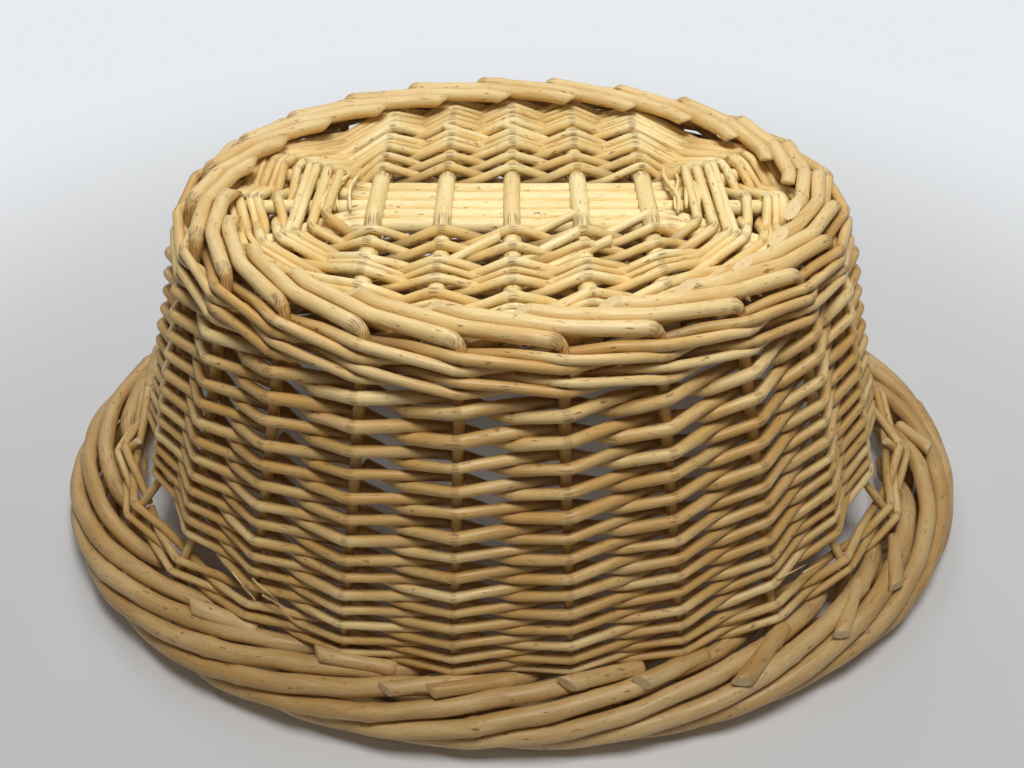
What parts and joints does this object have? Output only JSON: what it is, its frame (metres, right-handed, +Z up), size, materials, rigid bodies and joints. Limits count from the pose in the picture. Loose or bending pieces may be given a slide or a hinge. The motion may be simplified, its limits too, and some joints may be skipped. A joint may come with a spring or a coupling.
{
  "type": "wicker basket",
  "caption": "Oval willow basket with flared pairing-woven sides, a rope-like rolled rim with open end handles and a stick-and-strand base, standing upside down on its rim.",
  "frame": {"origin": "centre of the plane on which the rim border rests", "axes": "+Z up from the rim to the base, +X along the length through the handles, +Y across, away from the viewer of the picture"},
  "size_m": [0.5072, 0.3524, 0.194],
  "materials": {
    "base_willow": "peeled willow, pale cream-honey, satin, with knots and split ends",
    "weaver_willow": "peeled willow, honey tan, satin",
    "stake_willow": "peeled willow, darker tan, satin",
    "border_willow": "thick peeled willow rods, honey tan, satin, with slanted cut ends"
  },
  "bodies": {
    "root": {"base_cross_stick_1": "base_willow", "base_cross_stick_2": "base_willow", "base_cross_stick_3": "base_willow", "base_cross_stick_4": "base_willow", "base_cross_stick_5": "base_willow", "base_long_stick_1": "base_willow", "base_long_stick_2": "base_willow", "base_long_stick_3": "base_willow", "base_long_stick_4": "base_willow", "base_long_stick_5": "base_willow", "base_round_1": "base_willow", "base_round_2": "base_willow", "base_round_3": "base_willow", "base_round_4": "base_willow", "base_round_5": "base_willow", "base_round_6": "base_willow", "base_round_7": "base_willow", "border_round_1": "weaver_willow", "border_round_2": "weaver_willow", "handle_stake_tips": "stake_willow", "rim_border_rods": "border_willow", "side_stake_01": "stake_willow", "side_stake_02": "stake_willow", "side_stake_03": "stake_willow", "side_stake_04": "stake_willow", "side_stake_05": "stake_willow", "side_stake_06": "stake_willow", "side_stake_07": "stake_willow", "side_stake_08": "stake_willow", "side_stake_09": "stake_willow", "side_stake_10": "stake_willow", "side_stake_11": "stake_willow", "side_stake_12": "stake_willow", "side_stake_13": "stake_willow", "side_stake_14": "stake_willow", "side_stake_15": "stake_willow", "side_stake_16": "stake_willow", "side_stake_17": "stake_willow", "side_stake_18": "stake_willow", "side_stake_19": "stake_willow", "side_stake_20": "stake_willow", "side_stake_21": "stake_willow", "side_stake_22": "stake_willow", "side_stake_23": "stake_willow", "side_stake_24": "stake_willow", "upsett_wale_1": "weaver_willow", "upsett_wale_2": "weaver_willow", "wall_round_01": "weaver_willow", "wall_round_02": "weaver_willow", "wall_round_03": "weaver_willow", "wall_round_04": "weaver_willow", "wall_round_05": "weaver_willow", "wall_round_06": "weaver_willow", "wall_round_07": "weaver_willow", "wall_round_08": "weaver_willow", "wall_round_09": "weaver_willow", "wall_round_10": "weaver_willow", "wall_round_11": "weaver_willow", "wall_round_12": "weaver_willow"}
  },
  "joints": []
}
